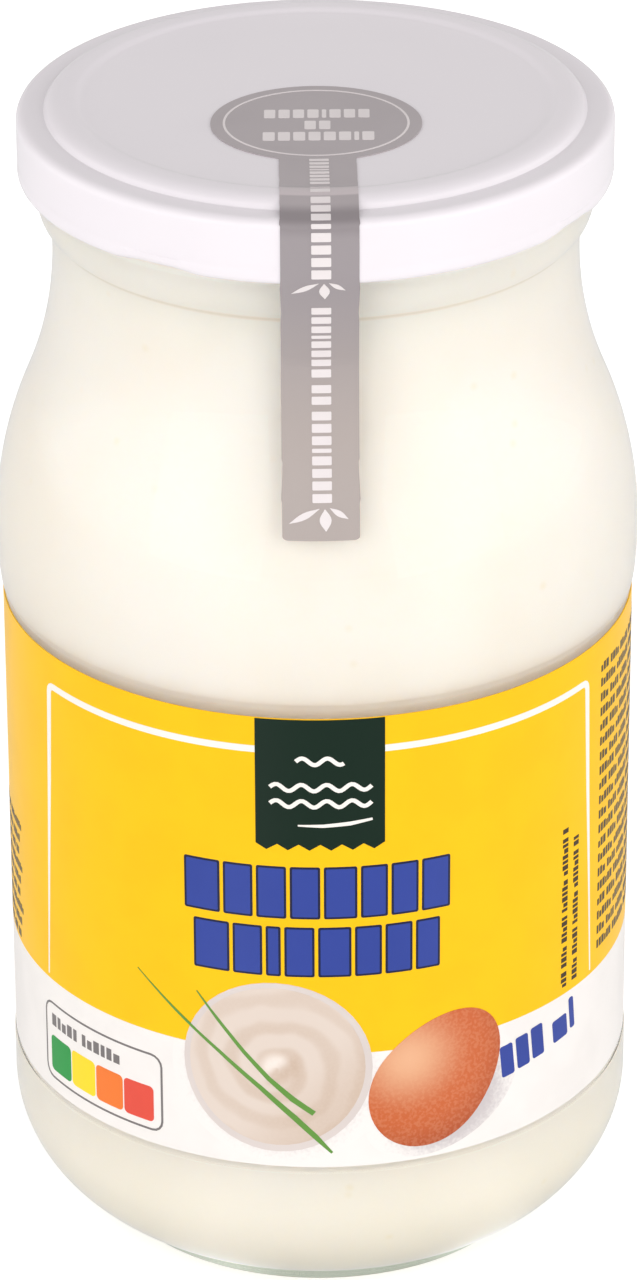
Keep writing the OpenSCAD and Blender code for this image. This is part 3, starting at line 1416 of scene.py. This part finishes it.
    def bowl(self) -> None:
        """Print the bowl of cream."""
        x, z = -5.1, 35.75
        shade = Stamp("bowl_shadow", self.bowl_shade, Layer.FIRST)
        shade.disc(x + 0.5, z - 0.65, 13.4, 12.3)
        shade.clip_above(self.horizon - 0.05)
        shade.wrap()
        rim = Stamp("bowl_rim", self.rim, Layer.SECOND)
        rim.disc(x, z, 11.3, 11.4)
        rim.wrap()
        cream = Stamp("bowl_cream", self.swirl, Layer.THIRD)
        cream.disc(x - 0.05, z + 0.1, 10.5, 10.6)
        cream.wrap()

    def chives(self) -> None:
        """Print the chives over the bowl."""
        long = Stamp("chive_long", self.chive, Layer.FOURTH)
        long.ribbon([(-22.6, 45.8, 0.08), (-17.5, 41.6, 0.3), (-12.0, 37.2, 0.45), (-7.0, 32.9, 0.6),
                     (-3.0, 29.1, 0.75), (-0.6, 26.6, 0.7), (1.4, 24.3, 0.3)])
        long.ribbon([(-14.7, 44.8, 0.12), (-12.2, 41.6, 0.4), (-9.0, 37.6, 0.5), (-6.0, 34.2, 0.6),
                     (-3.2, 31.6, 0.75), (-0.7, 29.7, 0.7)])
        long.wrap()

    def egg_print(self) -> None:
        """Print the egg and its shadow."""
        shade = Stamp("egg_shadow", self.egg_shade, Layer.SECOND)
        shade.disc(15.2, 29.6, 10.3, 6.3, 20)
        shade.clip_above(self.horizon - 0.05)
        shade.wrap()
        egg = Stamp("egg", self.egg, Layer.FOURTH)
        egg.disc(13.6, 32.1, 8.5, 7.45, 50, 64, narrow=1.26)
        egg.wrap()

    def volume(self) -> None:
        """Print a short row of plain blocks where the contents would be stated."""
        stamp = Stamp("volume_mark", self.blue, Layer.THIRD)
        left, right, rise, space, short = 22.7, 35.2, 0.17, 3, 4
        for index, (start, end) in enumerate(share_row(left, right, (3, 3, 3, 1.2, 4.2, 1.4), 0.5)):
            if index == space:
                continue
            low = 30.4 + (start - left) * rise
            stamp.block(start, end, low, low + (3.0 if index == short else 4.3), 0.3, 6)
        stamp.wrap()

    def panel(self) -> None:
        """Print a plain outlined panel with a title row and four colour tiles."""
        line = Stamp("panel_line", self.grey, Layer.FIRST)
        line.frame(-29.7, 29.3, 10.3, 5.3, 0.28, 1.6)
        line.wrap()
        colours = ((33, 147, 65), (250, 214, 30), (236, 120, 44), (222, 78, 62))
        for index, colour in enumerate(colours):
            tile = Stamp(f"panel_tile_{index}", ink(f"tile_ink_{index}", *colour), Layer.FIRST)
            left = -38.7 + index * 4.55
            tile.block(left, left + 4.35, 25.2, 30.0, 0.6)
            tile.wrap()
        title = Stamp("panel_title", self.grey, Layer.FIRST)
        title.letters(-38.4, -24.4, 31.4, 33.0, 2)
        title.wrap()

    def small_print(self) -> None:
        """Print the small rows of text blocks at the sides and on the back."""
        side = Stamp("side_notes", self.dark, Layer.FIRST)
        for row, (x, low, high) in enumerate(((33.1, 38.7, 60.2), (35.25, 38.9, 58.5))):
            side.letters(low, high, x - 0.55, x + 0.5, row, along_x=False)
        side.wrap()
        back = Stamp("back_text", self.dark, Layer.FIRST)
        for row in range(4):
            back.letters(40.6, 72.0 - row * 1.3, 77.4 - row * 1.95, 78.5 - row * 1.95, row * 3)
            back.letters(77.0, 104.0 - row * 2.1, 77.4 - row * 1.95, 78.5 - row * 1.95, row * 5 + 1)
        self._repeat(5, 4 * 1.95)
        back.wrap()
        left = Stamp("left_text", self.dark, Layer.FIRST)
        for row in range(3):
            left.letters(-72.0, -46.6 - row * 0.7, 53.5 - row * 1.9, 54.5 - row * 1.9, row * 4)
        self._repeat(3, 3 * 1.9)
        left.wrap()
        plate = Stamp("back_plate", self.frame_white, Layer.FIRST)
        plate.block(-104.0, -78.0, 42.0, 60.0, 0.8)
        plate.wrap()
        bars = Stamp("back_bars", self.dark, Layer.SECOND)
        at = -101.5
        index = 0
        while at < -81.5:
            width = (0.35, 0.7, 0.35, 1.0)[index * 3 % 4]
            bars.block(at, at + width, 44.5, 57.5)
            at += width + (0.45, 0.8)[index * 5 % 3 % 2]
            index += 1
        bars.wrap()
        for name, finish, low, high in (("seam_low", self.white, self.low, self.horizon),
                                        ("seam_high", self.yellow, self.horizon, self.high)):
            seam = Stamp("label_" + name, finish, Layer.SECOND)
            seam.block(113.0, 117.0, low + 0.05, high - 0.05)
            seam.wrap()
        # Painted shadow line along the edge where the label overlaps itself.
        edge = Stamp("label_seam_painted_shadow", self.seam, Layer.THIRD)
        edge.block(112.85, 113.05, self.low + 0.05, self.high - 0.05)
        edge.wrap()

    @staticmethod
    def _repeat(count: int, pitch: float) -> None:
        """Repeat the drawn rows below themselves.

        Args:
            count: Number of copies in all.
            pitch: Height from one copy to the next.
        """
        bpy.ops.object.mode_set(mode="OBJECT")
        Bench.modify("ARRAY", count=count, use_relative_offset=False, use_constant_offset=True,
                     constant_offset_displace=(0, 0, -pitch * MM))
        bpy.ops.object.mode_set(mode="EDIT")

    def build(self) -> None:
        """Make the film and its print and fix them in place."""
        Bench.hand_over(self.make_film(), Slot.LABEL, "label")
        self.frame_lines()
        self.banner()
        self.words()
        self.bowl()
        self.chives()
        self.egg_print()
        self.volume()
        self.panel()
        self.small_print()


# ---------------------------------------------------------------- lid


@dataclass
class TwistLid:
    """The painted steel lid. Millimetres."""

    radius: float = 34.3
    ledge_z: float = 141.7
    skirt_z: float = 134.0
    slope_r: float = 31.0
    ring_r: float = 28.9
    ring_z: float = 142.9
    dip_r: float = 27.6
    panel_r: float = 26.9
    panel_z: float = 142.6
    bore_r: float = 27.9
    rim_z: float = 141.2
    lug_angles: tuple = (-31.0, 59.0, 149.0, -121.0)
    steps: int = 240
    paint: Finish = Finish("lid_paint", srgb(232, 227, 232), srgb(227, 222, 228), roughness=0.32,
                           amount=0.4, mottle_scale=30.0, grain_scale=500.0, grain_strength=0.06,
                           grain_depth=0.00006, coat=0.25)

    def make(self) -> bpy.types.Object:
        """Turn the lid's section, then lift the hem where its lugs are pressed.

        Returns:
            The lid.
        """
        line = Outline(0, self.panel_z).line(self.panel_r - 0.3, self.panel_z, 6)
        line.line(self.panel_r, self.panel_z + 0.03).line(self.panel_r + 0.35, self.panel_z + 0.15)
        line.line(self.dip_r, self.ring_z - 0.03).line(self.dip_r + 0.3, self.ring_z)
        line.line(self.ring_r - 0.2, self.ring_z, 2)
        line.arc((self.ring_r, self.ledge_z), self.slope_r - self.ring_r, self.ring_z - self.ledge_z,
                 86, 12, 9)
        line.line(self.slope_r + 0.15, self.ledge_z + 0.02).line(self.slope_r + 0.4, self.ledge_z)
        line.line(self.radius - 1.3, self.ledge_z, 2)
        line.arc((self.radius - 1.1, self.ledge_z - 1.1), 1.1, 1.1, 90, 0, 8)
        line.line(self.radius, self.skirt_z + 2.0, 5).line(self.radius - 0.04, self.skirt_z + 1.75)
        line.line(self.radius, self.skirt_z + 1.5)
        line.arc((self.radius - 0.8, self.skirt_z + 0.8), 0.8, 0.8, 0, -90, 6)
        line.arc((self.radius - 0.8, self.skirt_z + 0.8), 0.8, 0.8, -90, -180, 6)
        line.line(self.radius - 1.6, self.skirt_z + 1.6).line(self.radius - 0.5, self.skirt_z + 1.6)
        line.line(self.radius - 0.5, self.rim_z, 3).line(self.bore_r, self.rim_z, 2)
        line.line(self.bore_r, self.panel_z - 0.5).line(0, self.panel_z - 0.5, 4)
        piece = Bench.turn("lid_shell", line, self.steps)
        self._lift_lugs(piece)
        Bench.end(38)
        Bench.dress(piece, self.paint)
        return piece

    def _lift_lugs(self, piece: bpy.types.Object) -> None:
        """Lift the hem a little over each lug.

        Args:
            piece: The lid, in edit mode.
        """
        steps = ((9.0, 0.05), (8.0, 0.08), (7.0, 0.09), (6.0, 0.09), (5.0, 0.08), (4.0, 0.06))
        for lug in self.lug_angles:
            for half, lift in steps:
                self._select_hem(piece, lug, half)
                bpy.ops.transform.translate(value=(0, 0, lift * MM))

    def _select_hem(self, piece: bpy.types.Object, lug: float, half: float) -> None:
        """Select the hem within an angle of a lug's middle.

        Args:
            piece: The lid.
            lug: Angle of the lug from the front, in degrees.
            half: Half of the angle that is taken.
        """
        bpy.ops.mesh.select_all(action="DESELECT")
        bpy.ops.object.mode_set(mode="OBJECT")
        for vertex in piece.data.vertices:
            turn = math.degrees(math.atan2(vertex.co.x, -vertex.co.y))
            apart = abs((turn - lug + 180) % 360 - 180)
            low = vertex.co.z < (self.skirt_z + 1.65) * MM
            vertex.select = low and apart < half
        bpy.ops.object.mode_set(mode="EDIT")

    def build(self) -> None:
        """Make the lid and fix it in place."""
        Bench.hand_over(self.make(), Slot.LID, "lid")


# ---------------------------------------------------------------- seal


@dataclass
class GuaranteeSeal:
    """The grey film over the lid's edge: a disc with a strap. Millimetres."""

    width: float = 8.7
    film: float = 0.12
    sink: float = 0.02
    disc_wide: float = 24.0
    disc_long: float = 22.2
    disc_shift: float = 7.9
    turn: float = 0.7
    marks: tuple = (-0.95, 1.25)
    panel_z: float = 142.6
    end_z: float = 103.3
    grey: Finish = Film("seal_grey", srgb(172, 164, 167), srgb(164, 156, 159), roughness=0.28,
                        amount=0.3, mottle_scale=120.0, grain_scale=1500.0, grain_strength=0.05,
                        specular=0.4)
    pale: Finish = ink("seal_pale", 226, 219, 220, roughness=0.28)

    def _path(self) -> Outline:
        """Draw the line that the strap follows, from the disc to its end.

        Returns:
            The line, in radius and height.
        """
        line = Outline(15.0, self.panel_z).line(26.9, self.panel_z, 12)
        line.line(27.6, 142.9).line(29.3, 142.9, 2)
        line.arc((33.2, 140.6), 1.1, 1.1, 75, 0, 6).line(34.3, 134.8, 6)
        neck = Outline(37.85, 89.5).swan(30.5, 125.3, 40).points
        touch = [point for point in neck if self.end_z <= point[1] <= 123.3]
        first = touch[-1]
        line.line(first[0], first[1], 10)
        for point in reversed(touch[:-1]):
            line.line(*point)
        return line

    def make_film(self) -> bpy.types.Object:
        """Make the strap and the disc and join them as one film.

        Returns:
            The film.
        """
        line = self._path()
        strap = Bench.turn("seal_strap", line, 16, math.radians(40), math.radians(-110 + self.turn))
        centre = math.radians(-90 + self.turn)
        aside = Vector((-math.sin(centre), math.cos(centre), 0))
        for side in (-1, 1):
            bpy.ops.mesh.select_all(action="SELECT")
            bpy.ops.mesh.bisect(plane_co=aside * side * self.width / 2 * MM, plane_no=aside * side,
                                clear_outer=True)
        self._round_ends(strap)
        self._face_out(strap)
        Bench.clear()
        strap.select_set(True)
        bpy.context.view_layer.objects.active = strap
        Bench.modify("SOLIDIFY", thickness=(self.film + self.sink) * MM, offset=0.714)
        disc = self._disc()
        Bench.clear()
        disc.select_set(True)
        strap.select_set(True)
        bpy.context.view_layer.objects.active = strap
        bpy.ops.object.join()
        strap.name = "seal_film"
        strap.data.name = "seal_film"
        Bench.end(50)
        Bench.dress(strap, self.grey)
        return strap

    def _round_ends(self, strap: bpy.types.Object) -> None:
        """Round the two corners of the strap's end.

        Args:
            strap: The strap.
        """
        bpy.ops.object.mode_set(mode="OBJECT")
        lowest = min(v.co.z for v in strap.data.vertices)
        foot = [v for v in strap.data.vertices if v.co.z < lowest + 1e-5]
        ends = (min(foot, key=lambda v: v.co.x).index, max(foot, key=lambda v: v.co.x).index)
        for group in (strap.data.vertices, strap.data.edges, strap.data.polygons):
            for item in group:
                item.select = False
        for index in ends:
            strap.data.vertices[index].select = True
        bpy.ops.object.mode_set(mode="EDIT")
        bpy.ops.mesh.bevel(offset=0.7 * MM, affect="VERTICES", segments=4)

    @staticmethod
    def _face_out(strap: bpy.types.Object) -> None:
        """Turn the strap's faces away from the jar.

        Args:
            strap: The strap.
        """
        bpy.ops.mesh.select_all(action="SELECT")
        bpy.ops.mesh.normals_make_consistent(inside=False)
        bpy.ops.object.mode_set(mode="OBJECT")
        front = min(strap.data.polygons, key=lambda f: f.center.y)
        if front.normal.y > 0:
            bpy.ops.object.mode_set(mode="EDIT")
            bpy.ops.mesh.select_all(action="SELECT")
            bpy.ops.mesh.flip_normals()
            bpy.ops.object.mode_set(mode="OBJECT")

    def _place(self, x: float, y: float) -> Vector:
        """Turn a flat place on the lid by the seal's own turn.

        Args:
            x: Distance to the right.
            y: Distance to the back.

        Returns:
            The place at height 0, in metres.
        """
        angle = math.radians(self.turn)
        return Vector((x * math.cos(angle) - y * math.sin(angle),
                       x * math.sin(angle) + y * math.cos(angle), 0)) * MM

    def _disc(self) -> bpy.types.Object:
        """Make the disc as a thin ellipse on the lid's panel.

        Returns:
            The disc.
        """
        disc = Bench.begin("seal_disc")
        middle = self._place(0, -self.disc_shift)
        middle.z = (self.panel_z - self.sink) * MM
        bpy.ops.mesh.primitive_circle_add(vertices=96, radius=1, fill_type="NGON", location=middle)
        bpy.ops.transform.resize(value=(self.disc_wide / 2 * MM, self.disc_long / 2 * MM, 1),
                                 center_override=middle)
        lift = (self.film + self.sink + 0.006) * MM
        bpy.ops.mesh.extrude_region_move(TRANSFORM_OT_translate={"value": (0, 0, lift)})
        Bench.end(50)
        return disc

    def disc_print(self) -> bpy.types.Object:
        """Print the disc's ring and its three rows of plain blocks.

        Returns:
            The finished print.
        """
        piece = Bench.begin("seal_disc_print")
        middle = self._place(0, -self.disc_shift)
        middle.z = (self.panel_z + self.film) * MM
        bpy.ops.mesh.primitive_circle_add(vertices=96, radius=1, fill_type="NGON", location=middle)
        bpy.ops.transform.resize(value=(10.6 * MM, 9.85 * MM, 1), center_override=middle)
        bpy.ops.mesh.inset(thickness=0.28 * MM, depth=0)
        bpy.ops.mesh.delete(type="FACE")
        rows = ((2.65, -5.9, 6.1, (3, 3, 3, 3, 1.2, 3, 3, 3)),
                (-0.75, -1.35, 1.6, (3, 3)),
                (-4.05, -6.1, 6.5, (3, 3, 3, 3, 3, 3, 1.2, 3)))
        for y, left, right, widths in rows:
            for start, end in share_row(left, right, widths, 0.35):
                place = self._place((start + end) / 2, -self.disc_shift + y)
                place.z = middle.z
                bpy.ops.mesh.select_all(action="DESELECT")
                bpy.ops.mesh.primitive_plane_add(size=1, location=place)
                bpy.ops.transform.resize(value=((end - start) * MM, 2.5 * MM, 1),
                                         center_override=place)
                bpy.ops.mesh.bevel(offset=0.22 * MM, affect="VERTICES", segments=3)
        bpy.ops.mesh.select_all(action="SELECT")
        bpy.ops.mesh.extrude_region_move(TRANSFORM_OT_translate={"value": (0, 0, 0.03 * MM)})
        Bench.end(40)
        Bench.dress(piece, self.pale)
        return piece

    def strap_print(self) -> None:
        """Print two runs of plain blocks down the strap, each ended by three blades."""
        path = self._path()
        stamp = StrapStamp("seal_strap_print", self.pale, Layer.FIRST, path=path, turn=self.turn)
        word = (3, 3, 3, 1.4, 3, 3, 3, 3)
        left, right = self.marks
        run = (3.7, 10.9, word), (11.8, 13.9, (3, 3)), (14.9, 25.8, word)
        again = (29.9, 39.9, word), (40.8, 43.1, (3, 3)), (43.9, 54.3, word)
        blades = ((-0.15, 0.15, -3.0, 1.5, 0.62), (0.45, 0.2, 0.1, 2.2, 1.15), (1.0, 0.1, 1.8, 1.1, 0.55))
        for start, end, widths in run + again:
            for low, high in share_row(start, end, widths, 0.4):
                stamp.block(left, right, -high, -low, 0.12)
        for start, size in ((26.2, 1.0), (54.8, 1.15)):
            for x, along, lean, drop, wide in blades:
                self._blade(stamp, (x, -start - along), (lean * size, -drop * size), wide * size)
        stamp.wrap()

    @staticmethod
    def _blade(stamp: Stamp, root: tuple, reach: tuple, wide: float) -> None:
        """Draw one pointed blade.

        Args:
            stamp: Print to draw in.
            root: Where it starts.
            reach: Its tip, from its root.
            wide: Its greatest width.
        """
        steps = 8
        stamp.ribbon([(root[0] + reach[0] * i / steps, root[1] + reach[1] * i / steps,
                       0.03 + wide * math.sin(math.pi * i / steps) ** 1.2) for i in range(steps + 1)])

    def build(self) -> None:
        """Make the seal's pieces and fix them in place."""
        Bench.hand_over(self.make_film(), Slot.SEAL, "seal")
        Bench.hand_over(self.disc_print(), Slot.SEAL)
        self.strap_print()


# ---------------------------------------------------------------- studio


@dataclass
class Studio:
    """Plain pale floor, soft lights and the camera. Metres."""

    distance: float = 0.746
    pitch: float = 0.4697
    roll: float = -0.0048
    aim_height: float = 0.073
    lens: float = 175.7
    shift: float = 0.0005
    room_tint: Colour = (1.0, 0.985, 0.975, 1.0)
    room_low: float = 0.42
    room_top: float = 0.28
    glows: tuple = ((-84.0, 8.0, 56.0, 1.3), (-28.0, 14.0, 30.0, 0.7), (42.0, 14.0, 30.0, 0.7),
                    (88.0, 8.0, 56.0, 1.3), (5.0, 36.0, 44.0, 1.05), (180.0, 15.0, 60.0, 0.3))
    floor_glow: float = 0.16

    def floor(self) -> None:
        """Lay the floor."""
        Bench.clear()
        bpy.ops.mesh.primitive_plane_add(size=6.0, location=(0, 0, 0))
        piece = bpy.context.object
        piece.name = "studio_floor"
        Bench.dress(piece, StudioFloor("floor_paper", srgb(246, 246, 246), srgb(244, 244, 245),
                                       roughness=0.8, mottle_scale=3.0, grain_scale=400.0,
                                       grain_strength=0.02, glow=self.floor_glow))

    def lamp(self, name: str, place: tuple, size: tuple, power: float, tint: tuple = (1, 1, 1)) -> None:
        """Hang a soft box that faces the jar.

        Args:
            name: Name of the lamp.
            place: Where it hangs.
            size: Width and height.
            power: Watts.
            tint: Colour.
        """
        Bench.clear()
        bpy.ops.object.light_add(type="AREA", location=place)
        lamp = bpy.context.object
        lamp.name = name
        lamp.data.shape = "RECTANGLE"
        lamp.data.size, lamp.data.size_y = size
        lamp.data.energy = power
        lamp.data.color = tint
        aim = Vector((0, 0, self.aim_height)) - Vector(place)
        lamp.rotation_euler = aim.to_track_quat("-Z", "Y").to_euler()

    def lights(self) -> None:
        """Hang the lamps and set the room's own light."""
        self.lamp("key_left", (-1.0, -1.2, 0.6), (1.3, 1.5), 3.0)
        self.lamp("key_right", (1.15, -1.05, 0.6), (1.3, 1.5), 3.0)
        world = bpy.data.worlds.new("studio_room")
        bpy.context.scene.world = world
        world.use_nodes = True
        tree = world.node_tree
        back = tree.nodes["Background"]
        toward = put(tree, "TexCoord").outputs["Generated"]
        height = put(tree, "SeparateXYZ", {0: toward}).outputs["Z"]
        light = span(tree, height, 0.05, 0.9, self.room_low, self.room_top)
        for side, rise, reach, peak in self.glows:
            way = Vector((math.sin(math.radians(side)) * math.cos(math.radians(rise)),
                          -math.cos(math.radians(side)) * math.cos(math.radians(rise)),
                          math.sin(math.radians(rise))))
            near = put(tree, "VectorMath", {0: toward, 1: way}, operation="DOT_PRODUCT").outputs["Value"]
            glow = span(tree, near, math.cos(math.radians(reach)), 1.0, 0.0, peak)
            light = maths(tree, "ADD", light, glow)
        back.inputs["Color"].default_value = self.room_tint
        tree.links.new(light, back.inputs["Strength"])

    def camera(self) -> None:
        """Set up the camera."""
        back = Vector((0, -math.cos(self.pitch), math.sin(self.pitch)))
        place = Vector((0, 0, self.aim_height)) + back * self.distance
        Bench.clear()
        bpy.ops.object.camera_add(location=place)
        camera = bpy.context.object
        camera.name = "camera_main"
        turn = (-back).to_track_quat("-Z", "Y").to_matrix()
        roll = Matrix.Rotation(self.roll, 3, "Z")
        camera.rotation_euler = (turn @ roll).to_euler()
        camera.data.sensor_fit = "VERTICAL"
        camera.data.sensor_height = 36.0
        camera.data.lens = self.lens
        camera.data.shift_x = self.shift
        camera.data.clip_start = 0.01
        bpy.context.scene.camera = camera

    def build(self) -> None:
        """Set up the whole studio."""
        self.floor()
        self.lights()
        self.camera()
        bpy.context.scene.view_settings.view_transform = "Standard"


def main() -> None:
    """Build every piece in order and report it."""
    logging.basicConfig(level=logging.INFO, format="%(name)s %(message)s")
    Studio().build()
    JarBody().build()
    WrapLabel().build()
    TwistLid().build()
    GuaranteeSeal().build()


if __name__ == "__main__":
    main()
